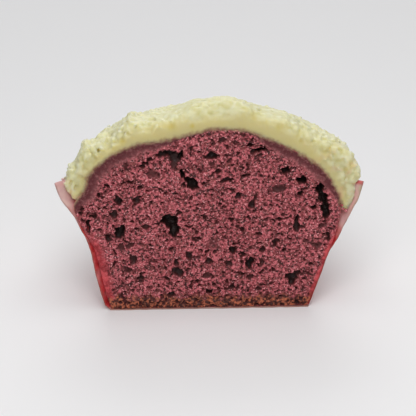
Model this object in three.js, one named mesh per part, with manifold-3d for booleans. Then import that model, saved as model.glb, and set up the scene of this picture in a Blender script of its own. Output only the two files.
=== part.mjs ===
// Half of a frosted cupcake, cut straight down through the middle, in its pleated paper case.
// Millimetres, +Z up. The flat cut face looks towards -Y, and the cake stands on the case's base.
// The origin is the middle of the underside of the whole object's bounding box.
// Every part is a half turn about a vertical axis that lies in the cut plane. Its outline differs a
// little between the right side (turn 0) and the left side (turn PI), and blends between them.
import * as THREE from "three";
import { mergeVertices } from "three/addons/utils/BufferGeometryUtils.js";
import Module from "manifold-3d";

const wasm = await Module();
wasm.setup();

// Paper case: a flat round base and a wall folded into pleats that deepen towards the mouth.
const BASE_RADIUS = 25.2;
const MOUTH_RADIUS = 38.75;
const CASE_HEIGHT = 33.4;
const PAPER = 0.3;
const PLEATS = 22; // on the half circle, with a fold that stands out at each end
const PLEAT_DEPTH_AT_MOUTH = 3.1;
const PLEAT_GROWTH = 0.72; // below 1 the pleats deepen quickly near the base
const FOLDS = 2 * PLEATS; // straight faces between an outer fold and an inner one

// What lies against another part keeps this much air to it.
const GAP = 0.3;
const WALL_GAP = 0.5; // measured level, across a pleat's slanting side
const CLEAR_OF_MOUTH = CASE_HEIGHT + 0.7; // above this height the frosting is free of the case

// Outlines as [radius, height], from the foot upwards.
const CASE_RIGHT = [
  [BASE_RADIUS, 0],
  [26.4, 3.2],
  [28.6, 9.6],
  [30.4, 15],
  [33.2, 20.2],
  [36.0, 26.0],
  [38.0, 30.2],
  [MOUTH_RADIUS, CASE_HEIGHT],
];
const CASE_LEFT = [
  [BASE_RADIUS, 0],
  [27.1, 3.2],
  [28.8, 9.6],
  [29.7, 15],
  [31.4, 20.2],
  [34.3, 26.0],
  [37.1, 30.2],
  [MOUTH_RADIUS, CASE_HEIGHT],
];
const SPONGE_FOOT = PAPER + GAP;
const SPONGE_TOP = 47.9;
const SPONGE_RIGHT = [
  [24.6, SPONGE_FOOT],
  [27.0, 8.2],
  [30.0, 15.4],
  [32.1, 21.0],
  [32.9, 26.6],
  [32.2, 30.9],
  [29.2, 36.2],
  [24.4, 40.5],
  [16.9, 44.5],
  [8.5, 47.5],
  [0, SPONGE_TOP],
];
const SPONGE_LEFT = [
  [24.6, SPONGE_FOOT],
  [26.6, 8.8],
  [28.6, 15.8],
  [31.0, 20.6],
  [33.6, 27.2],
  [32.2, 31.3],
  [29.8, 36.2],
  [25.3, 41.0],
  [17.1, 44.7],
  [8.0, 46.2],
  [0, SPONGE_TOP],
];
const FROSTING_TOP = 53;
const FROSTING_RIGHT = [
  [35.2, 28.4],
  [37.7, CLEAR_OF_MOUTH],
  [38.2, 36.2],
  [36.9, 38.8],
  [33.6, 42.1],
  [28.7, 44.9],
  [22.9, 47.9],
  [15.0, 50.8],
  [7.5, 52.9],
  [0, FROSTING_TOP],
];
const FROSTING_LEFT = [
  [34.3, 30.2],
  [36.6, CLEAR_OF_MOUTH],
  [36.2, 35.8],
  [34.3, 38.2],
  [31.9, 41.4],
  [28.2, 44.1],
  [22.6, 46.7],
  [15.0, 49.7],
  [7.5, 51.6],
  [0, FROSTING_TOP],
];
const SPONGE_ROWS = 20;
const FROSTING_ROWS = 2 * (FROSTING_RIGHT.length - 1);
const FROSTING_STEPS = 2 * FOLDS;
const FROSTING_STARTS_AT = 5; // the point of the sponge's outline that the frosting reaches down to
const LEAST_FROSTING = 0.4;

// Torn lumps of the spread frosting.
const LUMP_SIZE = 5.2;
const LUMP_HEIGHT = 1.1;
const SMALL_LUMP_SIZE = 2.4;
const SMALL_LUMP_HEIGHT = 0.5;
const SMALL_LUMP_SHIFT = 40; // keeps the small lumps from lining up with the large ones

// Large bubbles that the cut laid open: [x, height, half width, half height, lean in degrees].
const BUBBLES = [
  [-4.1, 33.7, 1.4, 1.9, 0],
  [-10, 24, 2, 1.6, 20],
  [-9.1, 21.4, 1.3, 1.9, 0],
  [-22.2, 21.3, 1.3, 1.7, 0],
  [-9.9, 41.7, 2.3, 0.9, 0],
  [28.1, 30.6, 0.9, 2.6, -14],
  [29.1, 26.5, 0.9, 2.4, -4],
  [23.0, 34.5, 1.5, 1.0, 20],
  [22.0, 22.8, 0.7, 2.4, -4],
  [12.2, 42.7, 1.8, 0.6, 6],
  [10.2, 12.3, 1.1, 1.7, 30],
  [20.8, 7.9, 1.7, 1.4, 0],
];
const BUBBLE_DEPTH = 2.2;
const BUBBLE_SIDES = 10;

const SAME_POINT = 1e-3; // vertices closer than this are one

const SPONGE_FINISH = { color: 0xa85860, roughness: 0.9 };
const FROSTING_FINISH = { color: 0xe3dfac, roughness: 0.5 };
const PAPER_FINISH = { color: 0xd48f92, roughness: 0.6 };

// How far round a turn is from the right side, 0, to the left side, 1.
function leftShare(turn) {
  return (1 - Math.cos(turn)) / 2;
}

// The point at share t along the outline of this turn.
function outlinePoint(right, left, turn, t) {
  return right.getPoint(t).lerp(left.getPoint(t), leftShare(turn));
}

function spline(points) {
  return new THREE.SplineCurve(points.map(([r, z]) => new THREE.Vector2(r, z)));
}

// Radius of the pleats' outer folds at a height, straight between the outline's points.
function foldRadius(points, z) {
  const i = Math.min(
    points.length - 2,
    points.findLastIndex(([, height]) => height <= Math.max(z, 0)),
  );
  const [r0, z0] = points[i];
  const [r1, z1] = points[i + 1];
  return r0 + ((r1 - r0) * (z - z0)) / (z1 - z0);
}

// 1 on a fold that stands out, 0 on a fold that lies in.
function pleatWave(turn) {
  const phase = (turn * PLEATS) / Math.PI;
  return Math.abs(1 - 2 * (phase - Math.floor(phase)));
}

// Radius of the paper's outer side.
function caseRadius(turn, z) {
  const share = leftShare(turn);
  const fold = foldRadius(CASE_RIGHT, z) * (1 - share) + foldRadius(CASE_LEFT, z) * share;
  const depth = PLEAT_DEPTH_AT_MOUTH * Math.pow(Math.max(z, 0) / CASE_HEIGHT, PLEAT_GROWTH);
  return fold - depth * (1 - pleatWave(turn));
}

// Keeps a point inside the case, up to just above the mouth.
function insideCase(point, turn) {
  if (point.y < CLEAR_OF_MOUTH + PAPER) {
    const limit = caseRadius(turn, Math.min(point.y, CASE_HEIGHT)) - PAPER - WALL_GAP;
    point.x = Math.min(point.x, limit);
  }
  return point;
}

// Repeatable random number from 0 to 1 for a lattice point.
function latticeValue(i, j, k) {
  const wave = Math.sin(i * 127.1 + j * 311.7 + k * 74.7) * 43758.5453;
  return wave - Math.floor(wave);
}

// Smooth noise from -1 to 1, with bumps about one unit apart.
function smoothNoise(x, y, z) {
  const cell = [Math.floor(x), Math.floor(y), Math.floor(z)];
  const ease = [x, y, z].map((v, axis) => {
    const f = v - cell[axis];
    return f * f * (3 - 2 * f);
  });
  let sum = 0;
  for (let corner = 0; corner < 8; corner++) {
    const step = [corner & 1, (corner >> 1) & 1, (corner >> 2) & 1];
    const weight = step.reduce((w, s, axis) => w * (s ? ease[axis] : 1 - ease[axis]), 1);
    sum += weight * latticeValue(cell[0] + step[0], cell[1] + step[1], cell[2] + step[2]);
  }
  return 2 * sum - 1;
}

function lumps(turn, point) {
  const at = [point.x * Math.cos(turn), point.x * Math.sin(turn), point.y];
  const large = smoothNoise(...at.map((v) => v / LUMP_SIZE));
  const small = smoothNoise(...at.map((v) => v / SMALL_LUMP_SIZE + SMALL_LUMP_SHIFT));
  return LUMP_HEIGHT * large + SMALL_LUMP_HEIGHT * small;
}

// A closed half turn. sectionAt(turn) gives the same number of points for every turn, the first and
// the last of them on the axis. The two end sections lie in the cut plane and close it.
function halfTurn(columns, sectionAt) {
  const turns = Array.from({ length: columns + 1 }, (_, i) => (Math.PI * i) / columns);
  const sections = turns.map(sectionAt);
  const rows = sections[0].length;
  const position = [];
  const triangles = [];
  sections.forEach((section, column) => {
    section.forEach((p) => {
      position.push(p.x * Math.cos(turns[column]), p.x * Math.sin(turns[column]), p.y);
    });
  });
  for (let column = 0; column < columns; column++) {
    for (let row = 0; row + 1 < rows; row++) {
      const a = column * rows + row;
      const b = a + rows;
      if (row > 0) triangles.push(a, b, b + 1);
      if (row + 2 < rows) triangles.push(a, b + 1, a + 1);
    }
  }
  for (const [column, mirrored] of [[0, false], [columns, true]]) {
    const start = column * rows;
    for (const [a, b, c] of THREE.ShapeUtils.triangulateShape(sections[column], [])) {
      if (mirrored) triangles.push(start + a, start + c, start + b);
      else triangles.push(start + a, start + b, start + c);
    }
  }
  const geometry = new THREE.BufferGeometry();
  geometry.setAttribute("position", new THREE.Float32BufferAttribute(position, 3));
  geometry.setIndex(triangles);
  const merged = mergeVertices(geometry, SAME_POINT);
  merged.computeVertexNormals();
  return merged;
}

// A geometry as a solid that can be joined and cut.
function solidOf(geometry) {
  const bare = geometry.clone();
  bare.deleteAttribute("normal");
  bare.deleteAttribute("uv");
  const merged = mergeVertices(bare, SAME_POINT);
  return new wasm.Manifold(
    new wasm.Mesh({
      numProp: 3,
      vertProperties: new Float32Array(merged.attributes.position.array),
      triVerts: new Uint32Array(merged.index.array),
    }),
  );
}

function geometryOf(solid) {
  const mesh = solid.getMesh();
  const geometry = new THREE.BufferGeometry();
  geometry.setAttribute("position", new THREE.BufferAttribute(mesh.vertProperties, 3));
  geometry.setIndex(new THREE.BufferAttribute(mesh.triVerts, 1));
  geometry.computeVertexNormals();
  return geometry;
}

function part(name, geometry, finish) {
  const material = new THREE.MeshStandardMaterial({ ...finish, metalness: 0 });
  const mesh = new THREE.Mesh(geometry, material);
  mesh.name = name;
  return mesh;
}

// Case: base and pleated wall in one sheet.
function paperCase() {
  const heights = CASE_RIGHT.map(([, z]) => z);
  return halfTurn(FOLDS, (turn) => {
    const outer = heights.map((z) => new THREE.Vector2(caseRadius(turn, z), z));
    const inner = heights.map((z) => {
      const height = Math.max(z, PAPER);
      return new THREE.Vector2(caseRadius(turn, height) - PAPER, height);
    });
    return [new THREE.Vector2(0, 0), ...outer, ...inner.reverse(), new THREE.Vector2(0, PAPER)];
  });
}

const spongeRight = spline(SPONGE_RIGHT);
const spongeLeft = spline(SPONGE_LEFT);
const frostingRight = spline(FROSTING_RIGHT);
const frostingLeft = spline(FROSTING_LEFT);

function spongePoint(turn, t) {
  return insideCase(outlinePoint(spongeRight, spongeLeft, turn, t), turn);
}

// Sponge: domed, with sides that the pleats have pressed into flutes.
function sponge() {
  const whole = halfTurn(FOLDS, (turn) => {
    const side = [];
    for (let row = 0; row <= SPONGE_ROWS; row++) side.push(spongePoint(turn, row / SPONGE_ROWS));
    return [new THREE.Vector2(0, SPONGE_FOOT), ...side];
  });
  const bubbles = BUBBLES.map(([x, z, halfWidth, halfHeight, lean]) => {
    const bubble = new THREE.SphereGeometry(1, BUBBLE_SIDES, BUBBLE_SIDES / 2);
    bubble.scale(halfWidth, BUBBLE_DEPTH, halfHeight);
    bubble.rotateY(THREE.MathUtils.degToRad(lean));
    bubble.translate(x, 0, z);
    return solidOf(bubble);
  });
  return geometryOf(bubbles.reduce((left, bubble) => left.subtract(bubble), solidOf(whole)));
}

// Frosting: a shell over the dome, held in by the case, with a lumpy top.
function frosting() {
  const first = Math.ceil((FROSTING_STARTS_AT / (SPONGE_RIGHT.length - 1)) * SPONGE_ROWS);
  return halfTurn(FROSTING_STEPS, (turn) => {
    const under = [new THREE.Vector2(0, SPONGE_TOP + GAP)];
    for (let row = SPONGE_ROWS - 1; row >= first; row--) {
      const here = spongePoint(turn, row / SPONGE_ROWS);
      const ahead = spongePoint(turn, (row - 1) / SPONGE_ROWS);
      const along = ahead.sub(here).normalize();
      under.push(new THREE.Vector2(here.x - along.y * GAP, here.y + along.x * GAP));
    }
    const tip = under[under.length - 1];
    const over = [];
    for (let row = 0; row < FROSTING_ROWS; row++) {
      const t = row / FROSTING_ROWS;
      const here = outlinePoint(frostingRight, frostingLeft, turn, t);
      const ahead = outlinePoint(frostingRight, frostingLeft, turn, t + 1 / FROSTING_ROWS);
      const along = ahead.sub(here).normalize();
      const free = THREE.MathUtils.smoothstep(here.y, CLEAR_OF_MOUTH, CLEAR_OF_MOUTH + LUMP_SIZE / 2);
      const out = free * lumps(turn, here);
      insideCase(here.add(new THREE.Vector2(along.y * out, -along.x * out)), turn);
      here.x = Math.min(here.x, MOUTH_RADIUS);
      if (row === 0) here.x = Math.max(here.x, tip.x + LEAST_FROSTING);
      over.push(here);
    }
    return [...under, ...over, new THREE.Vector2(0, FROSTING_TOP)];
  });
}

const cupcake = new THREE.Group();
cupcake.add(
  part("paper_case", paperCase(), PAPER_FINISH),
  part("sponge", sponge(), SPONGE_FINISH),
  part("frosting", frosting(), FROSTING_FINISH),
);

const bounds = new THREE.Box3().setFromObject(cupcake);
const centre = bounds.getCenter(new THREE.Vector3());
cupcake.position.set(-centre.x, -centre.y, -bounds.min.z);

export default cupcake;
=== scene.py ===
"""Looks of half a frosted cupcake, cut straight down, in its pleated paper case.

Every shape is worked out in millimetres in cake coordinates: x to the right and z up as in the part,
and y the depth behind the cut, so that the cut is y = 0 and the cake's axis is x = y = 0. A mesh is
made in the part's own frame, in metres.
"""
import sys
import logging
import math
from collections.abc import Sequence
from dataclasses import dataclass
from enum import Enum

import bmesh
import bpy
import numpy as np
import openvdb
from mathutils import Euler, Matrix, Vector
from mathutils.geometry import delaunay_2d_cdt


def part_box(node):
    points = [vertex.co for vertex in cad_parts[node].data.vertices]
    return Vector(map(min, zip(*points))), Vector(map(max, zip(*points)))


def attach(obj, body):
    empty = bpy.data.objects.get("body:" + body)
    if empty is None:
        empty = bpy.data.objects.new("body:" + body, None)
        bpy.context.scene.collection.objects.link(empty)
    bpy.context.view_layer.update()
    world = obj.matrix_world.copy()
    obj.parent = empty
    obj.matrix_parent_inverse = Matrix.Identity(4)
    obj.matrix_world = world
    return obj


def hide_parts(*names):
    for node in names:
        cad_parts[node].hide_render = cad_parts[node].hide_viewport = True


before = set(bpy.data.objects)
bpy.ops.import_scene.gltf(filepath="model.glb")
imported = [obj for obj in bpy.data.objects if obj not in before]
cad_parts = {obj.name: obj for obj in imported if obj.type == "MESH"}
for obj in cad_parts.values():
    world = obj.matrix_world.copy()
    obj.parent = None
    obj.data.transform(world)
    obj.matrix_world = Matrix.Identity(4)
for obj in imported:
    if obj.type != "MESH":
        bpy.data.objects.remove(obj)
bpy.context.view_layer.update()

log = logging.getLogger("cupcake")

MM = 0.001
BODY = "root"
# The value of "seam" where a piece lies well inside the cake, in mm above the seam.
INSIDE_CAKE = -3.0


class Node(Enum):
    """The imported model's nodes."""

    CASE = "paper_case"
    SPONGE = "sponge"
    FROSTING = "frosting"


class Slot(Enum):
    """Names of the material slots."""

    PAPER = "case_paper"
    CRUMB = "sponge_crumb"
    FROSTING = "butter_frosting"


def node_box(node: Node) -> tuple[np.ndarray, np.ndarray]:
    """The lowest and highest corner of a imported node, in mm."""
    low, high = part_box(node.value)
    return np.array(low) / MM, np.array(high) / MM


CUT_Y = node_box(Node.CASE)[0][1]


def smoothstep(value: np.ndarray, low: float, high: float) -> np.ndarray:
    """0 below low, 1 above high, and a smooth rise between."""
    t = np.clip((value - low) / (high - low), 0.0, 1.0)
    return t * t * (3 - 2 * t)


def fade(value: np.ndarray, low: float, high: float) -> np.ndarray:
    """1 below low, 0 above high, and a smooth fall between."""
    return 1 - smoothstep(value, low, high)


def smooth_max(a: np.ndarray, b: np.ndarray, rounding: np.ndarray | float) -> np.ndarray:
    """The larger of two distances, with the edge where they meet rounded."""
    near = np.maximum(rounding - np.abs(a - b), 0.0) / rounding
    return np.maximum(a, b) + near * near * rounding / 4


def left_share(turn: np.ndarray) -> np.ndarray:
    """How far round a turn is from the right side, 0, to the left side, 1."""
    return (1 - np.cos(turn)) / 2


def turn_of(points: np.ndarray) -> np.ndarray:
    """How far round the axis each point is from the right side, in radians, for rows of x, y, z."""
    return np.arctan2(np.maximum(points[:, 1], 0), points[:, 0])


def blend(right: np.ndarray | float, left: np.ndarray | float, share: np.ndarray) -> np.ndarray:
    """The right side's value where share is 0 and the left side's where it is 1."""
    return right * (1 - share) + left * share


def profile(x: np.ndarray, table: Sequence[tuple[float, float]]) -> np.ndarray:
    """The value at each x, from a table of x and value."""
    return np.interp(x, *np.array(table).T)


def linear(red: int, green: int, blue: int) -> tuple[float, float, float, float]:
    """A screen colour of 0 to 255 as the linear colour that a shader takes."""
    parts = [c / 255 for c in (red, green, blue)]
    curve = [c / 12.92 if c <= 0.04045 else ((c + 0.055) / 1.055) ** 2.4 for c in parts]
    return (*curve, 1.0)


def put_in_scene(name: str, data: bpy.types.ID) -> bpy.types.Object:
    """Makes an object of a mesh, light or camera and links it to the scene."""
    item = bpy.data.objects.new(name, data)
    bpy.context.scene.collection.objects.link(item)
    return item


def facing(direction: Vector) -> Euler:
    """The rotation that points a light or camera along a direction."""
    return direction.to_track_quat("-Z", "Y").to_euler()


class Noise:
    """Repeatable noise on points, from one seed."""

    LATTICE = 32
    STRENGTH = 1.7
    LAYER_SHIFT = 17.3

    def __init__(self, seed: int) -> None:
        """Draws the lattice's directions and spots.

        Args:
            seed: sets the draw.
        """
        rng = np.random.default_rng(seed)
        arrows = rng.normal(size=(self.LATTICE,) * 3 + (3,))
        self.arrows = arrows / np.linalg.norm(arrows, axis=-1, keepdims=True)
        self.spots = rng.random((self.LATTICE,) * 3 + (3,))

    def cell_values(self, table: np.ndarray, cell: np.ndarray) -> np.ndarray:
        """The lattice's values for whole-numbered cells."""
        i, j, k = (cell % self.LATTICE).T
        return table[i, j, k]

    @staticmethod
    def cells(points: np.ndarray, size: float) -> tuple[np.ndarray, np.ndarray]:
        """The lattice's cell that each point lies in, and the point's place inside it."""
        scaled = points / size
        base = np.floor(scaled).astype(int)
        return base, scaled - base

    def smooth(self, points: np.ndarray, size: float) -> np.ndarray:
        """Smooth noise from about -1 to 1.

        Args:
            points: rows of x, y, z.
            size: how far apart its bumps are.

        Returns:
            One value for each point.
        """
        base, inside = self.cells(points, size)
        ease = inside**3 * (inside * (inside * 6 - 15) + 10)
        total = np.zeros(len(points))
        for corner in np.ndindex(2, 2, 2):
            arrow = self.cell_values(self.arrows, base + corner)
            weight = np.prod(np.where(corner, ease, 1 - ease), axis=1)
            total += weight * ((inside - corner) * arrow).sum(axis=1)
        return total * self.STRENGTH

    def layered(self, points: np.ndarray, size: float, layers: int) -> np.ndarray:
        """Smooth noise with finer, weaker layers added."""
        return sum(self.smooth(points + self.LAYER_SHIFT * n, size / 2**n) / 2**n for n in range(layers))

    def curds(self, points: np.ndarray, size: float, sharpness: float = 9.0) -> np.ndarray:
        """The distance to the nearest of many spots, with soft creases halfway between them.

        Args:
            points: rows of x, y, z.
            size: how far apart the spots are.
            sharpness: how narrow the creases are.

        Returns:
            The distance for each point, as a share of size.
        """
        base, inside = self.cells(points, size)
        near = np.zeros(len(points))
        for corner in np.ndindex(3, 3, 3):
            step = np.array(corner) - 1
            spot = self.cell_values(self.spots, base + step) + step
            near += np.exp(-sharpness * ((spot - inside) ** 2).sum(axis=1))
        return np.sqrt(np.maximum(-np.log(np.maximum(near, 1e-9)) / sharpness, 0))


@dataclass(frozen=True)
class Outline:
    """A smooth line in a section of the cake, through points of [radius, height] in mm."""

    points: tuple[tuple[float, float], ...]
    STEPS = 40

    def sample(self, count: int) -> np.ndarray:
        """Evenly spaced points along the line.

        Args:
            count: how many points.

        Returns:
            Rows of radius and height.
        """
        p = np.array(self.points)
        padded = np.vstack([p[:1], p, p[-1:]])
        t = np.linspace(0, 1, self.STEPS, endpoint=False)[:, None]
        pieces = []
        for a, b, c, d in zip(padded, padded[1:], padded[2:], padded[3:]):
            bend = (2 * a - 5 * b + 4 * c - d) * t**2 + (3 * b - a - 3 * c + d) * t**3
            pieces.append((2 * b + (c - a) * t + bend) / 2)
        line = np.vstack([*pieces, p[-1:]])
        along = np.concatenate([[0], np.cumsum(np.linalg.norm(np.diff(line, axis=0), axis=1))])
        wanted = np.linspace(0, along[-1], count)
        return np.column_stack([np.interp(wanted, along, line[:, axis]) for axis in (0, 1)])


@dataclass(frozen=True)
class TwoSided:
    """An outline at the cake's right side and one at its left, blended round the back."""

    right: Outline
    left: Outline

    def sample(self, turn: float, count: int) -> np.ndarray:
        """Evenly spaced points along the outline at one turn."""
        return blend(self.right.sample(count), self.left.sample(count), left_share(turn))


@dataclass
class Mesh:
    """Points and faces on their way to becoming one piece."""

    name: str
    points: np.ndarray
    faces: list[Sequence[int]]
    values: dict[str, np.ndarray]

    def make(self, node: Node | None, material: bpy.types.Material) -> bpy.types.Object:
        """Makes the Blender object, dressed and fixed to the frame.

        Args:
            node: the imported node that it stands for, if any.
            material: what it is made of.

        Returns:
            The new object.
        """
        data = bpy.data.meshes.new(self.name)
        placed = (self.points + [0, CUT_Y, 0]) * MM
        data.from_pydata(placed.tolist(), [], [list(map(int, f)) for f in self.faces])
        data.polygons.foreach_set("use_smooth", np.ones(len(data.polygons), bool))
        for label, value in self.values.items():
            layer = data.attributes.new(label, "FLOAT", "POINT")
            layer.data.foreach_set("value", value.astype(np.float32))
        data.update()
        piece = put_in_scene(self.name, data)
        data.materials.append(material)
        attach(piece, BODY)
        if node is not None:
            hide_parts(node.value)
        triangles = sum(len(f) - 2 for f in self.faces)
        log.info("%s: %d points, %d triangles", self.name, len(self.points), triangles)
        return piece


class Shader:
    """A material's node tree, with short ways to add what the finishes share."""

    def __init__(self, name: str) -> None:
        """Starts an empty material."""
        self.material = bpy.data.materials.new(name)
        self.material.use_nodes = True
        self.tree = self.material.node_tree
        self.tree.nodes.clear()
        self.output = self.add("ShaderNodeOutputMaterial")
        self.place = self.add("ShaderNodeTexCoord").outputs["Object"]

    def add(self, kind: str, **settings: object) -> bpy.types.Node:
        """Adds a node and sets its properties."""
        node = self.tree.nodes.new(kind)
        for key, value in settings.items():
            setattr(node, key, value)
        return node

    def join(self, source: object, socket: bpy.types.NodeSocket) -> None:
        """Links an output to a socket, or sets the socket where source is a plain value."""
        if isinstance(source, bpy.types.NodeSocket):
            self.tree.links.new(source, socket)
        else:
            socket.default_value = source

    def feed(self, node: bpy.types.Node, **inputs: object) -> bpy.types.Node:
        """Joins each keyword's value to the node's input of that name, with _ for a space."""
        for key, value in inputs.items():
            self.join(value, node.inputs[key.replace("_", " ")])
        return node

    def value_of(self, label: str) -> bpy.types.NodeSocket:
        """The mesh's own value of this name."""
        return self.add("ShaderNodeAttribute", attribute_name=label).outputs["Fac"]

    def noise(self, size: float, detail: float) -> bpy.types.NodeSocket:
        """Noise with patches of about this size in mm."""
        node = self.add("ShaderNodeTexNoise")
        return self.feed(node, Vector=self.place, Scale=1 / (size * MM), Detail=detail).outputs["Fac"]

    def grains(self, size: float) -> bpy.types.NodeSocket:
        """The distance to the nearest of many spots, about this size apart in mm."""
        node = self.add("ShaderNodeTexVoronoi")
        return self.feed(node, Vector=self.place, Scale=1 / (size * MM)).outputs["Distance"]

    def spread(self, value: bpy.types.NodeSocket, low: float, high: float) -> bpy.types.NodeSocket:
        """Turns low to high into 0 to 1, smoothly."""
        node = self.add("ShaderNodeMapRange", interpolation_type="SMOOTHSTEP")
        return self.feed(node, Value=value, From_Min=low, From_Max=high).outputs["Result"]

    def patches(self, size: float, detail: float, low: float, high: float) -> bpy.types.NodeSocket:
        """Patches of about this size in mm, where noise rises from low to high."""
        return self.spread(self.noise(size, detail), low, high)

    def maths(self, kind: str, a: object, b: object) -> bpy.types.NodeSocket:
        """The result of two values, such as ADD or SUBTRACT."""
        node = self.add("ShaderNodeMath", operation=kind)
        for value, socket in zip((a, b), node.inputs):
            self.join(value, socket)
        return node.outputs[0]

    def times(self, a: object, b: object) -> bpy.types.NodeSocket:
        """One value times another."""
        return self.maths("MULTIPLY", a, b)

    def mix(self, share: object, a: object, b: object) -> bpy.types.NodeSocket:
        """Colour a where share is 0 and b where it is 1."""
        node = self.add("ShaderNodeMix", data_type="RGBA", clamp_factor=True)
        self.join(share, node.inputs["Factor"])
        self.join(a, node.inputs[6])
        self.join(b, node.inputs[7])
        return node.outputs[2]

    def overlay(self, colour: object, finish: object, *labels: str) -> bpy.types.NodeSocket:
        """Lays a finish's colours over a colour, each where the mesh's value of the same name says."""
        for label in labels:
            colour = self.mix(self.value_of(label), colour, getattr(finish, label))
        return colour

    def bump(self, height: object, depth: float, strength: float) -> bpy.types.NodeSocket:
        """A normal for relief of this depth in mm."""
        node = self.add("ShaderNodeBump")
        return self.feed(node, Strength=strength, Distance=depth * MM, Height=height).outputs["Normal"]

    def surface(self, **inputs: object) -> bpy.types.NodeSocket:
        """A Principled shader. Keywords are its inputs, with _ for a space."""
        return self.feed(self.add("ShaderNodeBsdfPrincipled"), **inputs).outputs[0]

    def finish(self, shader: bpy.types.NodeSocket) -> bpy.types.Material:
        """Gives the material its surface."""
        self.join(shader, self.output.inputs["Surface"])
        return self.material


@dataclass(frozen=True)
class Seam:
    """The soft, ragged line where frosting and cake run into each other, the same in both finishes."""

    crust: tuple = linear(136, 66, 66)
    smear: tuple = linear(216, 194, 146)
    raggedness: float = 1.7
    cake_side: float = -0.7
    frosting_side: float = 1.0

    def frosting_share(self, s: Shader) -> bpy.types.NodeSocket:
        """0 in the cake and 1 in the frosting, from the mesh's height above the seam in mm."""
        ragged = s.times(s.maths("SUBTRACT", s.noise(1.3, 2), 0.5), self.raggedness)
        return s.spread(s.maths("ADD", s.value_of("seam"), ragged), self.cake_side, self.frosting_side)


@dataclass(frozen=True)
class CrumbFinish:
    """Open red sponge: pink walls with painted shade and highlights, bubbles darkened by painted shade, a
    dense crust under the frosting, a brown base.
    """

    wall: tuple = linear(210, 108, 116)
    wall_shade: tuple = linear(124, 43, 49)
    brown: tuple = linear(128, 65, 59)
    # Painted shade of tiny pores too small for the mesh.
    pore_shade: tuple = linear(58, 20, 21)
    glint: tuple = linear(242, 163, 167)
    # Painted shade inside the bubbles, darker where they go deeper.
    pit_shade: tuple = linear(86, 34, 35)
    deep_pit_shade: tuple = linear(36, 17, 15)
    crust: tuple = linear(120, 62, 65)
    crust_pale: tuple = linear(158, 98, 97)
    crust_dark: tuple = linear(92, 32, 37)
    base: tuple = linear(190, 104, 75)
    base_dark: tuple = linear(66, 28, 22)
    wet: tuple = linear(152, 32, 39)
    wet_pale: tuple = linear(212, 78, 84)
    # Painted highlights: sparse near-white dots on the crumb.
    highlight_speck: tuple = linear(244, 220, 214)
    seam: Seam = Seam()

    def material(self) -> bpy.types.Material:
        """Builds the finish."""
        s = Shader("sponge_crumb")
        grain = s.patches(0.65, 5, 0.39, 0.61)
        colour = s.mix(grain, self.wall_shade, self.wall)
        colour = s.mix(s.times(s.patches(1.4, 3, 0.48, 0.66), 0.65), colour, self.brown)
        # Dark flecks of painted shade, for tiny pores too small for the mesh.
        colour = s.mix(s.patches(0.7, 4, 0.56, 0.63), colour, self.pore_shade)
        colour = s.mix(s.patches(0.42, 3, 0.57, 0.67), colour, self.glint)
        # Sparse near-white dots of painted highlight.
        highlight_speck = s.times(s.spread(s.grains(0.9), 0.12, 0.05), s.patches(2.5, 2, 0.58, 0.66))
        colour = s.mix(highlight_speck, colour, self.highlight_speck)
        colour = s.mix(s.value_of("crust"), colour, self.crust_colour(s))
        wet = s.mix(s.patches(1.8, 4, 0.4, 0.62), self.wet, self.wet_pale)
        colour = s.mix(s.value_of("wet"), colour, wet)
        base = s.mix(s.patches(0.7, 5, 0.42, 0.62), self.base_dark, self.base)
        colour = s.mix(s.value_of("browning"), colour, base)
        # Painted shade in the bubbles, from the mesh's value worked out from their depth.
        colour = s.mix(s.spread(s.value_of("pit_shade"), 0.05, 0.6), colour, self.pit_shade)
        colour = s.mix(s.spread(s.value_of("pit_shade"), 0.55, 0.95), colour, self.deep_pit_shade)
        colour = s.mix(self.seam.frosting_share(s), colour, self.seam.smear)
        return s.finish(s.surface(
            Base_Color=colour,
            Roughness=s.maths("ADD", 0.5, s.times(grain, 0.25)),
            Specular_IOR_Level=0.4,
            Normal=s.bump(s.noise(0.4, 4), 0.16, 0.7),
        ))

    def crust_colour(self, s: Shader) -> bpy.types.NodeSocket:
        """The dense crust: mottled, darkest under the frosting and pale where the crumb starts."""
        colour = s.mix(s.value_of("crust_depth"), self.crust_dark, self.crust)
        colour = s.mix(s.times(s.patches(1.5, 4, 0.48, 0.64), 0.7), colour, self.crust_dark)
        colour = s.mix(s.times(s.patches(0.8, 4, 0.5, 0.68), 0.5), colour, self.crust_pale)
        crumb_edge = s.times(s.spread(s.value_of("crust"), 0.95, 0.5), 0.5)
        return s.mix(crumb_edge, colour, self.crust_pale)


@dataclass(frozen=True)
class FrostingFinish:
    """Pale butter frosting: matt curds outside with painted shade in their sunken spots and crevices, a
    yellower smear where the knife passed.
    """

    pale: tuple = linear(219, 217, 181)
    cream: tuple = linear(212, 207, 160)
    smear: tuple = linear(211, 199, 142)
    # Painted shade in the sunken spots between curds.
    shade: tuple = linear(212, 206, 136)
    # Painted shade in the crevices between curds, a deeper yellow.
    crevice_shade: tuple = linear(206, 190, 92)
    peach: tuple = linear(218, 182, 138)
    seam: Seam = Seam()

    def material(self) -> bpy.types.Material:
        """Builds the finish."""
        s = Shader("butter_frosting")
        colour = s.mix(s.patches(2.4, 5, 0.35, 0.65), self.cream, self.pale)
        colour = s.overlay(colour, self, "smear", "shade", "crevice_shade", "peach")
        colour = s.mix(self.seam.frosting_share(s), self.seam.crust, colour)
        return s.finish(s.surface(
            Base_Color=colour,
            Roughness=0.65,
            Specular_IOR_Level=0.3,
            Subsurface_Weight=1.0,
            Subsurface_Radius=(1.0, 0.9, 0.65),
            Subsurface_Scale=4.0 * MM,
            Normal=s.bump(s.noise(0.5, 4), 0.1, 0.2),
        ))


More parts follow.
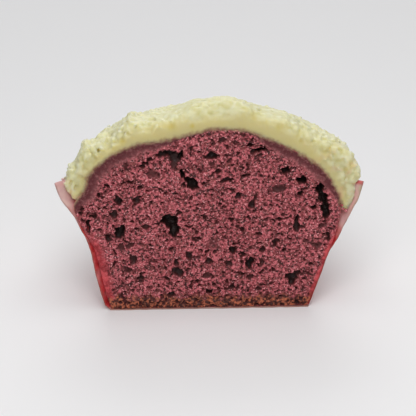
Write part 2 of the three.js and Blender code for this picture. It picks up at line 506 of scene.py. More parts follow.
@dataclass(frozen=True)
class PaperFinish:
    """Thin greaseproof paper: pale pink, red where the cake stuck to it, and it lets light through."""

    pale: tuple = linear(246, 216, 208)
    mauve: tuple = linear(234, 196, 194)
    red: tuple = linear(230, 80, 85)
    dark_red: tuple = linear(200, 47, 53)
    butter: tuple = linear(226, 219, 180)
    cut_edge: tuple = linear(162, 106, 84)
    clearness: float = 0.25

    def material(self) -> bpy.types.Material:
        """Builds the finish."""
        s = Shader("case_paper")
        pale = s.mix(s.patches(4, 4, 0.35, 0.65), self.pale, self.mauve)
        red = s.mix(s.patches(1.6, 4, 0.35, 0.65), self.dark_red, self.red)
        colour = s.mix(s.value_of("stain"), pale, red)
        colour = s.overlay(colour, self, "butter", "cut_edge")
        normal = s.bump(s.noise(0.9, 5), 0.08, 0.4)
        sheet = s.surface(Base_Color=colour, Roughness=0.42, Specular_IOR_Level=0.5, Normal=normal)
        through = s.feed(s.add("ShaderNodeBsdfTranslucent"), Color=colour).outputs[0]
        both = s.add("ShaderNodeMixShader")
        for value, socket in zip((self.clearness, sheet, through), both.inputs):
            s.join(value, socket)
        return s.finish(both.outputs[0])


@dataclass
class CaseShape:
    """The baking case's form, which the cake and the frosting lie inside. Sizes in mm."""

    base_radius: float = 25.2
    pleats: int = 22
    pleat_depth: float = 3.1
    pleat_growth: float = 0.72
    fold_softness: float = 0.975
    drawn_in: float = 1.7
    tuck: float = 1.3
    right: tuple = ((26.4, 3.2), (28.6, 9.6), (30.4, 15), (33.2, 20.2), (36.0, 26.0), (38.0, 30.2))
    left: tuple = (
        (26.5, 1.2), (27.3, 3.8), (28.8, 9.6), (29.7, 15), (31.4, 20.2), (34.2, 25.8), (37.1, 30.2),
    )

    def __post_init__(self) -> None:
        """Takes the mouth and the height from the frame."""
        low, high = node_box(Node.CASE)
        self.mouth_radius = (high[0] - low[0]) / 2
        self.height = high[2]

    def fold_radius(self, turn: np.ndarray, z: np.ndarray) -> np.ndarray:
        """Radius of the outer folds at a turn and a height."""
        foot, mouth = (self.base_radius, 0.0), (self.mouth_radius, self.height)
        lines = [np.array([foot, *side, mouth]) for side in (self.right, self.left)]
        right, left = (np.interp(z, line[:, 1], line[:, 0]) for line in lines)
        return blend(right, left, left_share(turn))

    def wave(self, turn: np.ndarray) -> np.ndarray:
        """1 on a fold that stands out and 0 on a fold that lies in, with rounded folds."""
        uneven = 0.12 * np.sin(turn * 7.3) * np.sin(turn) + 0.08 * np.sin(turn * 17.1) * np.sin(turn)
        phase = turn * self.pleats / np.pi + uneven
        ridge = self.fold_softness * np.cos(2 * np.pi * phase)
        return 1 - np.arccos(ridge) / np.pi

    def crest_radius(self, turn: np.ndarray, z: np.ndarray) -> np.ndarray:
        """Radius of the folds that stand out, drawn in behind the cut and tucked in at its left."""
        up = np.clip(z, 0, self.height)
        outer = self.fold_radius(turn, up)
        behind = outer * np.sin(turn)
        drawn_in = self.drawn_in * (up / self.height) ** 2 * smoothstep(behind, 1.5, 8.0)
        tuck = np.clip(behind / 2.0, 0, 1) * fade(behind, 2.4, 6.0)
        tuck = self.tuck * tuck * smoothstep(left_share(turn), 0.5, 0.9) * fade(up, 14, 26)
        return outer - drawn_in - tuck

    def pleat_size(self, z: np.ndarray) -> np.ndarray:
        """How far a fold's valley lies in from its crest at a height."""
        return self.pleat_depth * (np.clip(z, 0, self.height) / self.height) ** self.pleat_growth

    def radius(self, turn: np.ndarray, z: np.ndarray) -> np.ndarray:
        """Radius of the paper at a turn and a height."""
        return self.crest_radius(turn, z) - self.pleat_size(z) * (1 - self.wave(turn))

    def room(self, turn: float, z: np.ndarray) -> np.ndarray:
        """The largest radius that the cake can have at a turn and each height.

        Args:
            turn: round the cake. At both cut ends the cake reaches the paper itself.
            z: the heights.

        Returns:
            The paper's radius at the cut, and the radius inside all the folds behind it.
        """
        if math.sin(turn) < 1e-6:
            return self.radius(turn, z)
        return self.crest_radius(turn, z) - self.pleat_size(z)


@dataclass(frozen=True)
class Bubble:
    """A large bubble that the cut laid open: middle, half sizes, lean and depth, in mm and degrees."""

    x: float
    z: float
    half_width: float
    half_height: float
    lean: float = 0.0
    depth: float = 3.0


LARGE_BUBBLES = tuple(Bubble(*row) for row in (
    (-4.0, 33.4, 1.4, 1.5), (-4.5, 34.5, 1.1, 1.0), (-5.8, 35.3, 0.9, 0.5, 30), (-6.8, 36.6, 0.6, 1.4),
    (-10.0, 24.1, 2.2, 1.5, 0, 3.4), (-9.4, 22.8, 1.6, 1.3, 0, 3.4), (-8.9, 21.3, 1.3, 1.9, 0, 3.4),
    (27.7, 31.8, 1.0, 1.6, -10, 3.4), (28.5, 29.5, 1.1, 1.9, -14, 3.4), (29.1, 26.9, 1.1, 2.0, -6, 3.4),
    (29.2, 25.1, 1.0, 1.5, 4, 3.4), (23.0, 34.4, 1.5, 1.0, 20), (-12.2, 41.6, 1.3, 0.7, 0, 1.6),
    (-9.8, 42.0, 1.9, 0.9, 0, 1.9), (-8.6, 40.7, 1.6, 1.3, 0, 1.5), (-8.8, 39.2, 0.8, 1.5, 0, 1.0),
    (-7.2, 41.4, 0.6, 1.4, 0, 2.4), (-30.3, 22.8, 0.6, 1.9, -12, 1.6), (-32.0, 27.7, 0.5, 1.0, -8, 1.4),
    (-22.3, 21.2, 1.4, 1.7, 0, 2.6), (-25.4, 19.5, 0.8, 1.1, 10, 1.4), (-22.6, 29.4, 1.0, 1.2, 0, 1.6),
    (-18.3, 29.4, 0.9, 0.9, 0, 1.3), (-27.7, 31.2, 0.7, 0.9, 0, 1.4), (-23.9, 25.9, 0.9, 1.0, 0, 1.3),
    (-29.0, 25.6, 1.1, 0.5, 0, 1.3), (22.0, 22.0, 0.8, 1.6, 0, 1.5), (22.1, 24.0, 0.5, 1.4, 0, 1.8),
    (26.2, 27.1, 0.7, 0.7, 0, 1.6), (19.0, 37.0, 1.0, 0.9, 30, 2.2), (12.5, 42.6, 1.7, 0.6, 5, 2.2),
    (10.0, 43.9, 1.0, 0.5, -10, 1.8), (0.7, 41.4, 1.3, 1.2, 0, 1.8), (3.1, 45.3, 1.3, 0.5, 0, 0.9),
    (10.2, 12.2, 1.0, 1.7, 30, 2.2), (5.9, 15.6, 0.9, 1.2, 0, 1.6), (16.6, 17.6, 0.9, 1.1, 0, 1.3),
    (20.9, 8.3, 1.7, 1.1, -10, 1.7), (20.8, 7.1, 0.8, 1.3, 0, 1.7), (-7.9, 10.0, 1.6, 1.2, 20, 1.6),
    (-19.1, 13.7, 1.0, 1.1, 0, 1.2), (-22.3, 17.1, 1.2, 1.2, 0, 0.8), (-19.9, 17.6, 1.1, 0.9, 0, 0.8),
    (-5.1, 14.4, 0.7, 1.0, 0, 1.3), (-9.6, 4.0, 0.9, 0.8, 0, 1.4), (0.0, 4.4, 0.7, 0.6, 0, 1.6),
    (-0.1, 12.8, 0.9, 0.8, 0, 1.2), (4.5, 34.6, 1.9, 0.5, -12, 1.4), (7.2, 30.6, 0.8, 0.9, 0, 1.5),
    (10.6, 27.6, 0.7, 0.8, 0, 1.3), (2.3, 37.0, 0.8, 0.8, 0, 1.3), (8.7, 35.7, 0.8, 0.6, 0, 1.3),
    (22.7, 31.0, 0.6, 0.8, 0, 1.6), (13.2, 15.8, 0.8, 0.8, 0, 1.1), (12.4, 20.0, 0.7, 0.6, 0, 1.2),
    (4.7, 12.0, 0.9, 0.7, 0, 1.1), (13.2, 12.3, 0.6, 1.1, 0, 0.9), (10.5, 8.2, 1.0, 0.8, 0, 0.9),
    (5.9, 5.8, 0.8, 0.6, 0, 1.3), (-0.6, 9.0, 1.3, 0.7, 0, 0.8), (-2.9, 7.1, 0.6, 0.5, 0, 1.2),
    (-10.7, 8.5, 0.8, 0.6, 0, 1.0), (-17.5, 8.6, 0.7, 0.6, 0, 1.3), (-20.5, 10.9, 1.0, 0.7, 0, 0.9),
    (-24.0, 12.3, 0.5, 1.2, 20, 0.9), (28.4, 22.0, 1.0, 0.9, 0, 0.8), (27.4, 16.6, 1.1, 0.8, 0, 0.7),
    (-2.6, 19.1, 0.8, 0.7, 0, 1.2), (-15.9, 22.5, 1.3, 0.8, 0, 0.9), (-15.9, 39.5, 0.8, 0.5, 0, 1.4),
    (-17.4, 32.8, 0.8, 0.6, 0, 1.2), (-25.4, 33.6, 0.5, 0.5, 0, 1.2), (0.9, 17.6, 1.7, 2.2, 0, 0.35),
    (-14.2, 36.5, 1.5, 1.2, 0, 0.55), (17.4, 32.2, 2.0, 0.9, 0, 0.9),
))


@dataclass(frozen=True)
class Swarm:
    """Bubbles of one range of radius, scattered through the crumb."""

    count: int
    smallest: float
    largest: float


@dataclass(frozen=True)
class Pores:
    """Ragged pores all over the crumb: how far apart and how deep, in mm, and how rare they are."""

    size: float
    depth: float
    rarity: float


class PitMap:
    """How deep the crumb's bubbles go behind the cut, on a fine grid. Sizes in mm."""

    def __init__(self, low: np.ndarray, high: np.ndarray, pitch: float) -> None:
        """Starts with no bubbles.

        Args:
            low: lowest x and z of the face.
            high: highest x and z of the face.
            pitch: the grid's spacing.
        """
        self.low = low
        self.pitch = pitch
        self.depth = np.zeros(np.ceil((high - low) / pitch).astype(int) + 1)

    def window(self, x: float, z: float, reach: float,
               lean: float) -> tuple[tuple[slice, slice], np.ndarray, np.ndarray]:
        """The grid's part within reach of a spot, and how far it lies from it across and along a lean."""
        spot = np.array([x, z])
        first = np.floor((spot - reach - self.low) / self.pitch).astype(int)
        last = np.ceil((spot + reach - self.low) / self.pitch).astype(int) + 1
        first, last = (np.clip(end, 0, self.depth.shape) for end in (first, last))
        across = (self.low[0] + self.pitch * np.arange(first[0], last[0]) - x)[:, None]
        up = (self.low[1] + self.pitch * np.arange(first[1], last[1]) - z)[None, :]
        area = (slice(first[0], last[0]), slice(first[1], last[1]))
        cos, sin = math.cos(lean), math.sin(lean)
        return area, across * cos - up * sin, across * sin + up * cos

    def press(self, bubble: Bubble, steepness: float = 0.35) -> None:
        """Presses in a large bubble with steep sides and a flat floor."""
        reach = max(bubble.half_width, bubble.half_height)
        area, u, v = self.window(bubble.x, bubble.z, reach, math.radians(bubble.lean))
        u, v = u / bubble.half_width, v / bubble.half_height
        inside = np.clip(1 - u * u - v * v, 0, None)
        self.depth[area] = np.maximum(self.depth[area], bubble.depth * inside**steepness)

    def scatter(self, swarm: Swarm, rng: np.random.Generator) -> None:
        """Presses in round bubbles that the cut passes at random.

        Args:
            swarm: how many and how large.
            rng: where the random numbers come from.
        """
        span = (np.array(self.depth.shape) - 1) * self.pitch
        for _ in range(swarm.count):
            x, z = self.low + rng.random(2) * span
            radius = swarm.smallest * (swarm.largest / swarm.smallest) ** (rng.random() ** 1.6)
            middle = radius * rng.uniform(-0.55, 0.8)
            squash, lean = rng.uniform(0.55, 1.0), rng.uniform(0, math.pi)
            area, u, v = self.window(x, z, radius, lean)
            v = v / squash
            away = u * u + v * v
            deep = middle + np.sqrt(np.clip(radius**2 - away, 0, None))
            opening = away < radius**2 - middle**2
            self.depth[area] = np.maximum(self.depth[area], np.where(opening, deep, 0))

    def sample(self, x: np.ndarray, z: np.ndarray) -> np.ndarray:
        """The depth at each spot, blended between the grid's points."""
        at = (np.column_stack([x, z]) - self.low) / self.pitch
        at = np.clip(at, 0, np.array(self.depth.shape) - 1.001)
        cell = at.astype(int)
        u, v = (at - cell).T
        i, j = cell.T
        d = self.depth
        near = d[i, j] * (1 - u) * (1 - v) + d[i + 1, j] * u * (1 - v)
        return near + d[i, j + 1] * (1 - u) * v + d[i + 1, j + 1] * u * v


@dataclass
class SpongeCake:
    """The sponge: a porous cut face and a baked skin, as one closed body. Sizes in mm."""

    case: CaseShape
    finish: CrumbFinish = CrumbFinish()
    outline: TwoSided = TwoSided(
        right=Outline((
            (24.9, 0.2), (26.8, 5.0), (28.7, 10.6), (30.4, 15.4), (32.1, 21.0), (32.9, 25.0),
            (32.9, 28.0), (32.2, 30.8), (29.2, 36.0), (24.4, 40.3), (16.9, 44.4), (8.5, 47.8),
            (0, 48.2),
        )),
        left=Outline((
            (24.9, 0.2), (26.3, 5.0), (27.7, 11.6), (28.9, 16.6), (30.9, 20.6), (33.6, 27.0),
            (33.5, 29.6), (31.6, 31.9), (30.7, 33.8), (30.2, 35.8), (28.8, 37.9), (25.3, 41.0),
            (21.4, 43.1), (17.1, 44.7), (12.5, 45.2), (8.0, 46.2), (0, 48.2),
        )),
    )
    foot: float = 0.2
    seam_height: float = 27.5
    base_rows: int = 36
    side_rows: int = 150
    columns: int = 44
    clearance: float = 0.2
    spacing: float = 0.184
    pit_grid: float = 0.06
    swarms: tuple = (Swarm(4200, 0.16, 0.36), Swarm(900, 0.3, 0.6))
    pores: tuple = (Pores(2.4, 1.2, 0.46), Pores(1.3, 0.9, 0.34), Pores(0.75, 0.5, 0.28))
    crust_thickness: float = 3.4
    base_thickness: float = 3.6
    wet_widths: tuple[float, float] = (2.0, 0.9)
    # How fast the painted shade in the bubbles darkens with depth, in mm.
    pit_shade_depth: float = 0.7
    seed: int = 11

    def section(self, turn: float) -> np.ndarray:
        """The section's points at a turn, from the foot on the axis round to the top on the axis."""
        side = self.outline.sample(turn, self.side_rows)
        limit = self.case.room(turn, side[:, 1]) - self.clearance
        held = side[:, 1] < self.case.height
        side[:, 0] = np.where(held, np.minimum(side[:, 0], limit), side[:, 0])
        floor = np.column_stack([
            np.linspace(0, side[0, 0], self.base_rows, endpoint=False),
            np.full(self.base_rows, self.foot),
        ])
        return np.vstack([floor, side])

    def skin(self) -> tuple[np.ndarray, list[Sequence[int]], np.ndarray]:
        """The baked outside.

        Returns:
            Its points, its faces, and the indices of the points round the cut face.
        """
        turns = np.linspace(0, np.pi, self.columns + 1)
        rows = self.base_rows + self.side_rows
        points, faces = [], []
        for turn in turns:
            radius, z = self.section(turn)[1:-1].T
            points.append(np.column_stack([radius * np.cos(turn), radius * np.sin(turn), z]))
        inner = rows - 2
        foot, top = inner * len(turns), inner * len(turns) + 1
        points = np.vstack([*points, [[0, 0, self.foot]], [[0, 0, self.section(0)[-1, 1]]]])
        for column in range(self.columns):
            a, b = column * inner, (column + 1) * inner
            faces.append((foot, b, a))
            faces.extend((a + r, b + r, b + r + 1, a + r + 1) for r in range(inner - 1))
            faces.append((a + inner - 1, b + inner - 1, top))
        last = self.columns * inner
        rim = [foot, *range(inner), top, *range(last + inner - 1, last - 1, -1)]
        return points, faces, np.array(rim)

    def crust_share(self, x: np.ndarray, z: np.ndarray, top_gap: np.ndarray) -> np.ndarray:
        """How much a spot of the face belongs to the dense crust under the frosting."""
        left = smoothstep(-x, 4, 20) * smoothstep(z, 25, 30)
        right = 0.85 * smoothstep(x, 8, 18) * smoothstep(z, 25, 36)
        thickness = self.crust_thickness * np.maximum(left, right) + 0.35
        return fade(top_gap / thickness, 0.4, 1.2)

    @staticmethod
    def at_cut(spots: np.ndarray) -> np.ndarray:
        """Rows of x, y, z at the cut, for rows of x, z."""
        return np.column_stack([spots[:, 0], np.zeros(len(spots)), spots[:, 1]])

    def build(self) -> bpy.types.Object:
        """Builds and dresses the sponge."""
        noise, rng = Noise(self.seed), np.random.default_rng(self.seed)
        points, faces, rim = self.skin()
        edge = points[rim][:, [0, 2]]
        low, high = edge.min(axis=0), edge.max(axis=0)
        face_points = self.face_points(edge, low, high, rng)
        index = np.concatenate([rim, len(points) + np.arange(len(face_points))])
        faces = faces + index[self.cut_triangles(edge, face_points)].tolist()
        x, z = face_points.T
        spot = self.at_cut(face_points)
        top_gap = self.distance_to(edge[edge[:, 1] > self.seam_height], face_points)
        side = (edge[:, 1] > 0.5) & (edge[:, 1] < self.seam_height)
        side_gap = self.distance_to(edge[side], face_points)
        rim_gap = np.minimum(top_gap, side_gap)
        wobble = 0.5 * noise.layered(spot, 2.0, 3)
        crust_gap = top_gap + 0.8 * wobble
        crust = self.crust_share(x, z, crust_gap)
        wet_width = np.where(x < 0, *self.wet_widths)
        wet = fade((side_gap + 0.8 * wobble) / wet_width, 0.4, 1.4) * fade(z, 17, 23)
        depth = self.pits(face_points, crust, noise, rng, low, high) * (1 - 0.9 * wet)
        depth *= smoothstep(rim_gap, 0.1, 0.9)
        uneven = 0.22 * noise.layered(spot, 6.0, 3) + 0.10 * noise.layered(spot + 50, 0.8, 2)
        rough = np.clip(uneven, -0.3, 0.4) * smoothstep(rim_gap, 0.0, 0.6)
        face = np.column_stack([x, depth + rough * (1 - 0.6 * crust), z])
        brown = fade(z + 2.4 * wobble, self.base_thickness - 1.5, self.base_thickness + 0.5)
        at_seam = (points[:, 1] < 1e-6) & (points[:, 2] > self.seam_height)
        skin = np.ones(len(points))
        values = {
            # How much painted shade each spot of the face gets, from its bubble depth.
            "pit_shade": np.concatenate([0 * skin, 1 - np.exp(-depth / self.pit_shade_depth)]),
            "crust": np.concatenate([skin, crust]),
            "crust_depth": np.concatenate([0 * skin, smoothstep(crust_gap, 0.8, 3.0)]),
            "seam": np.concatenate([np.where(at_seam, 0.0, INSIDE_CAKE), -top_gap]),
            "browning": np.concatenate([0 * skin, brown]),
            "wet": 0.9 * np.concatenate([skin, wet]),
        }
        mesh = Mesh("sponge_cake", np.vstack([points, face]), faces, values)
        return mesh.make(Node.SPONGE, self.finish.material())

    def face_points(self, edge: np.ndarray, low: np.ndarray, high: np.ndarray,
                    rng: np.random.Generator) -> np.ndarray:
        """Points all over the cut face, on a shaken hexagonal grid."""
        rows = []
        for n, z in enumerate(np.arange(low[1], high[1], self.spacing * math.sqrt(3) / 2)):
            x = np.arange(low[0], high[0], self.spacing) + (n % 2) * self.spacing / 2
            rows.append(np.column_stack([x, np.full(len(x), z)]))
        spots = np.vstack(rows)
        spots += rng.uniform(-0.22, 0.22, spots.shape) * self.spacing
        spots = spots[self.inside(edge, spots)]
        return spots[self.distance_to(edge, spots) > 0.7 * self.spacing]

    def cut_triangles(self, edge: np.ndarray, spots: np.ndarray) -> np.ndarray:
        """Triangles that fill the cut face.

        Args:
            edge: the closed line round the face.
            spots: the points inside it.

        Returns:
            Rows of three indices into the edge's points followed by the spots.
        """
        flat = np.vstack([edge, spots])
        loop = [(i, (i + 1) % len(edge)) for i in range(len(edge))]
        found = delaunay_2d_cdt([Vector(p) for p in flat], loop, [], 1, 1e-5, True)
        origin = np.array([source[0] for source in found[3]])
        corners = origin[np.array(found[2])]
        on_edge = np.flatnonzero((corners < len(edge)).all(axis=1))
        outside = ~self.inside(edge, flat[corners[on_edge]].mean(axis=1))
        return np.delete(corners, on_edge[outside], axis=0)

    @staticmethod
    def inside(edge: np.ndarray, spots: np.ndarray) -> np.ndarray:
        """Which spots lie inside a closed line."""
        crossings = np.zeros(len(spots), int)
        for a, b in zip(edge, np.roll(edge, -1, axis=0)):
            spans = (a[1] > spots[:, 1]) != (b[1] > spots[:, 1])
            if spans.any():
                where = a[0] + (b[0] - a[0]) * (spots[:, 1] - a[1]) / (b[1] - a[1])
                crossings += spans & (spots[:, 0] < where)
        return crossings % 2 == 1

    @staticmethod
    def distance_to(line: np.ndarray, spots: np.ndarray) -> np.ndarray:
        """The distance of each spot to the nearest of a line's points."""
        nearest = np.full(len(spots), 1e9)
        for point in line:
            nearest = np.minimum(nearest, ((spots - point) ** 2).sum(axis=1))
        return np.sqrt(nearest)

    def pits(self, spots: np.ndarray, crust: np.ndarray, noise: Noise, rng: np.random.Generator,
             low: np.ndarray, high: np.ndarray) -> np.ndarray:
        """The depth of the bubbles at each spot of the face."""
        pit_map = PitMap(low, high, self.pit_grid)
        for swarm in self.swarms:
            pit_map.scatter(swarm, rng)
        for bubble in LARGE_BUBBLES:
            pit_map.press(bubble)
        spot = self.at_cut(spots)
        wide = [0.45 * noise.smooth(spot + shift, 1.6) for shift in (0, 31)]
        fine = [0.3 * noise.smooth(spot + shift, 0.75) for shift in (11, 47)]
        depth = pit_map.sample(spots[:, 0] + wide[0] + fine[0], spots[:, 1] + wide[1] + fine[1])
        bent = spot * [1, 1, 1.15] + np.column_stack([wide[0], wide[0] * 0, wide[1]]) * 0.6
        density = 0.12 * noise.smooth(spot + 70, 7.0)
        for pores in self.pores:
            level = noise.layered(bent + 90 * pores.size, pores.size, 3) + density
            depth = np.maximum(depth, pores.depth * smoothstep(level, pores.rarity, pores.rarity + 0.55))
        return depth * (1 - 0.9 * crust)


@dataclass(frozen=True)
class Ball:
    """The place and radius of a crevice between curds or of a loose crumb, in mm."""

    x: float
    y: float
    z: float
    radius: float

    def share(self, points: np.ndarray) -> np.ndarray:
        """1 in the ball's middle, falling to 0 round it, for rows of x, y, z."""
        away = ((points - [self.x, self.y, self.z]) ** 2).sum(axis=1)
        return np.exp(-away / self.radius**2)


@dataclass
class FrostingCap:
    """Butter frosting spread over the dome, modelled as a solid on a fine grid. Sizes in mm."""

    case: CaseShape
    sponge: SpongeCake
    finish: FrostingFinish = FrostingFinish()
    outline: TwoSided = TwoSided(
        right=Outline((
            (37.2, 26.6), (38.1, 33.2), (39.0, 34.7), (38.7, 36.4), (37.5, 38.6), (35.7, 40.8),
            (32.9, 43.1), (28.9, 45.0), (22.9, 48.0), (15.0, 50.6), (7.5, 52.8), (0, 53.4),
        )),
        left=Outline((
            (34.3, 30.4), (36.2, 32.4), (36.5, 34.4), (35.3, 37.0), (33.4, 39.8), (31.0, 42.4),
            (27.8, 44.4), (22.9, 46.9), (15.0, 49.6), (7.5, 51.7), (0, 53.4),
        )),
    )
    swell: tuple = (
        (-36.5, -0.7), (-34.8, -0.1), (-33.2, -1.1), (-32.2, -0.2), (-31, 0.7), (-28.5, -0.7),
        (-24, -1.4), (-21.5, 0.1), (-19.5, 1.3), (-16, -0.1), (-10, -0.6), (-6.5, -0.1), (-4, 1.0),
        (5, 1.7), (9, 1.1), (13, 0.2), (19, 0.3), (26, -1.0), (31, -0.6), (35, -0.4), (38, -0.9),
    )
    crevices: tuple = tuple(Ball(*row) for row in (
        (-0.4, 3.6, 51.9, 0.8), (3.4, 5.0, 51.7, 0.8), (11.2, 0.3, 51.2, 0.7), (-9.4, 0.0, 49.3, 0.9),
        (-11.3, 0.0, 49.6, 0.6), (-4.3, 0.0, 49.2, 0.5), (17.4, 0.0, 48.8, 0.9), (28.9, 0.0, 41.6, 0.9),
        (27.8, 0.0, 42.8, 0.7), (22.7, 0.0, 44.8, 0.5), (33.9, 0.0, 36.9, 0.7), (35.6, 0.0, 38.2, 0.8),
        (-29.3, 0.0, 40.4, 0.6), (-21.7, 0.0, 45.6, 0.7), (-32.6, 0.0, 36.2, 0.6),
    ))
    smooth_widths: tuple = ((-30, 1.3), (-20, 2.1), (-11, 2.9), (0, 1.8), (11, 2.5), (21, 3.0), (31, 1.3))
    lump_size: float = 4.4
    curd_size: float = 1.6
    curd_sharpness: float = 6.5
    grain_size: float = 1.1
    crevice_depth: float = 0.9
    lean_back: float = 0.7
    lean_width: float = 8.0
    centre_height: float = 18.0
    overlap: float = 0.6
    paper_gap: float = 0.2
    voxel: float = 0.345
    margin: float = 2.0
    tip_angles: tuple[float, float] = (84.0, 47.0)
    outline_steps: int = 300
    batches: int = 12
    seed: int = 23

    def relief(self, points: np.ndarray) -> np.ndarray:
        """How far the curds stand out at each point, in mm, for rows of x, y, z."""
        noise = Noise(self.seed)
        bent = points + 0.7 * np.column_stack([noise.smooth(points + s, 2.0) for s in (0, 19, 37)])
        lumps = 0.55 - noise.curds(bent, self.lump_size)
        curds = 0.45 - noise.curds(bent + 9, self.curd_size, self.curd_sharpness)
        grains = noise.smooth(points + 5, self.grain_size)
        left = fade(points[:, 0], -20, -2)
        right = smoothstep(points[:, 0], 18, 30)
        rough = 0.5 + 0.5 * left + 0.4 * right + 0.3 * noise.smooth(points + 60, 6.0)
        return 0.25 * noise.smooth(points, 7.0) + rough * (0.4 * lumps + 1.3 * curds + 0.6 * grains)

    def crevice_share(self, points: np.ndarray) -> np.ndarray:
        """How much each point lies in a crevice, for rows of x, y, z."""
        return np.clip(sum(crevice.share(points) for crevice in self.crevices), 0, 1)

    def seen_from_centre(self, points: np.ndarray) -> tuple[np.ndarray, np.ndarray]:
        """Each point's angle above level and its distance, both from the cap's centre."""
        radius, up = np.hypot(points[:, 0], points[:, 1]), points[:, 2] - self.centre_height
        return np.arctan2(up, radius), np.hypot(radius, up)

    def field(self, points: np.ndarray) -> np.ndarray:
        """Signed distance to the frosting's surface, below zero inside, for rows of x, y, z."""
        x, y, z = points.T
        radius, turn = np.hypot(x, y), turn_of(points)
        share = left_share(turn)
        angle, away = self.seen_from_centre(points)
        shell = away - (self.reach(self.outline, angle, share) + profile(x, self.swell) * fade(y, 10, 24))
        over = away - self.reach(self.sponge.outline, angle, share)
        band = (np.abs(shell) < self.margin) | (np.abs(y) < self.margin)
        height = np.zeros(len(points))
        height[band] = self.relief(points[band]) - self.crevice_depth * self.crevice_share(points[band])
        rim = self.case.height
        free = smoothstep(z, rim - 5.5, rim + 1.5)
        noise = Noise(self.seed + 1)
        smooth = self.smooth_width(points, noise)
        top = smoothstep(over, 0.5 * smooth, 1.7 * smooth)
        outside = shell - height * (0.4 + 0.6 * free)
        knife = 0.12 * noise.layered(points, 2.8, 2) * smoothstep(over, 0.0, 1.0)
        cut = -y + knife - height * (0.1 * smoothstep(over, 0.3, 1.5) + 0.75 * top) + 0.4 * top
        cut += self.lean_back * np.exp(-((x / self.lean_width) ** 2)) * np.maximum(over - 1.3 * smooth, 0)
        solid = smooth_max(outside, cut, 0.3 + 2.4 * top)
        solid = np.maximum(solid, -over - self.overlap)
        wall = self.case.radius(turn, np.minimum(z, rim)) - self.paper_gap
        wall = wall + 1.6 * np.maximum(z - rim - 0.5, 0)
        solid = np.maximum(solid, radius - wall)
        ends = zip(self.outline.right.points[0], self.outline.left.points[0])
        tip_radius, tip_height = (blend(right, left, share) for right, left in ends)
        slope = np.radians(blend(*self.tip_angles, share))
        lower = (radius - tip_radius) * np.sin(slope) - (z - tip_height) * np.cos(slope)
        return smooth_max(solid, np.maximum(lower - 0.3 * height, tip_height - 0.6 - z), 0.8)

    def smooth_width(self, points: np.ndarray, noise: Noise) -> np.ndarray:
        """How wide a band above the cake the knife left smooth at each point, in mm."""
        unevenness = 0.5 * noise.smooth(points + 13, 5.0)
        return np.maximum(profile(points[:, 0], self.smooth_widths) + unevenness, 0.6)

    def reach(self, outline: TwoSided, angle: np.ndarray, share: np.ndarray) -> np.ndarray:
        """How far an outline lies from the cap's centre, at each angle above level."""
        reaches = []
        for side in (outline.right, outline.left):
            line = side.sample(self.outline_steps)
            rise = np.arctan2(line[:, 1] - self.centre_height, line[:, 0])
            order = np.argsort(rise)
            out = np.hypot(line[:, 0], line[:, 1] - self.centre_height)
            reaches.append(np.interp(angle, rise[order], out[order]))
        return blend(*reaches, share)

    def build(self) -> bpy.types.Object:
        """Builds and dresses the frosting."""
        low, high = node_box(Node.FROSTING)
        start = np.array([low[0] - self.margin, -self.margin, low[2] - 2 * self.margin])
        end = np.array([high[0] + self.margin, high[1] - CUT_Y + self.margin, high[2] + self.margin])
        shape = np.ceil((end - start) / self.voxel).astype(int)
        axes = [start[i] + self.voxel * np.arange(shape[i]) for i in range(3)]
        grid = np.stack(np.meshgrid(*axes, indexing="ij"), axis=-1).reshape(-1, 3)
        distance = np.concatenate([self.field(part) for part in np.array_split(grid, self.batches)])
        limit = 4 * self.voxel
        volume = openvdb.FloatGrid(limit)
        volume.copyFromArray(np.clip(distance, -limit, limit).reshape(shape).astype(np.float32))
        points, triangles, quads = volume.convertToPolygons(0.0, 0.0)
        kept = self.largest_part(len(points), (triangles, quads))
        points = points[kept].astype(float) * self.voxel + start
        renumbered = np.cumsum(kept) - 1
        faces = [f for kind in (triangles, quads) for f in renumbered[kind[kept[kind[:, 0]]]].tolist()]
        mesh = Mesh("frosting_cap", points, faces, self.shades(points))
        return mesh.make(Node.FROSTING, self.finish.material())

    @staticmethod
    def largest_part(count: int, kinds: tuple[np.ndarray, ...]) -> np.ndarray:
        """Finds the largest connected part of a surface, to leave out specks that float free.

        Args:
            count: how many points the surface has.
            kinds: its faces as rows of point indices, one array for each number of corners.

        Returns:
            Whether each point belongs to the largest part.
        """
        pairs = np.vstack([kind[:, i:i + 2] for kind in kinds for i in range(kind.shape[1] - 1)])
        label = np.arange(count)
        ends = label[pairs]
        while (ends[:, 0] != ends[:, 1]).any():
            lowest = ends.min(axis=1)
            for side in (0, 1):
                np.minimum.at(label, ends[:, side], lowest)
            label = label[label]
            ends = label[pairs]
        return label == np.bincount(label).argmax()

    def shades(self, points: np.ndarray) -> dict[str, np.ndarray]:
        """Where the frosting is smeared, where painted shade darkens its sunken spots and crevices, and
        where the cake stained it.
        """
        x, y, z = points.T
        angle, away = self.seen_from_centre(points)
        over = away - self.reach(self.sponge.outline, angle, left_share(turn_of(points)))
        smooth = self.smooth_width(points, Noise(self.seed + 1))
        smear = fade(y, 0.4, 2.2) * fade(over, 0.6 * smooth, 2.4 * smooth)
        spots = smoothstep(Noise(self.seed + 2).layered(points, 4.0, 3), -0.1, 0.8)
        low_right = smoothstep(x, 22, 30) * fade(z, 38, 44)
        low_left = smoothstep(-x, 28, 32) * fade(z, 34, 38)
        sunken = fade(self.relief(points), -0.45, 0.15)
        return {
            "smear": smear,
            # Painted shade in the sunken spots between curds, away from the smear.
            "shade": 0.35 * sunken * (1 - smear),
            # Painted shade in the listed crevices.
            "crevice_shade": self.crevice_share(points),
            "peach": 0.8 * spots * low_right + 0.6 * spots * low_left,
            "seam": np.where(y < 1.5, over, -INSIDE_CAKE),
        }


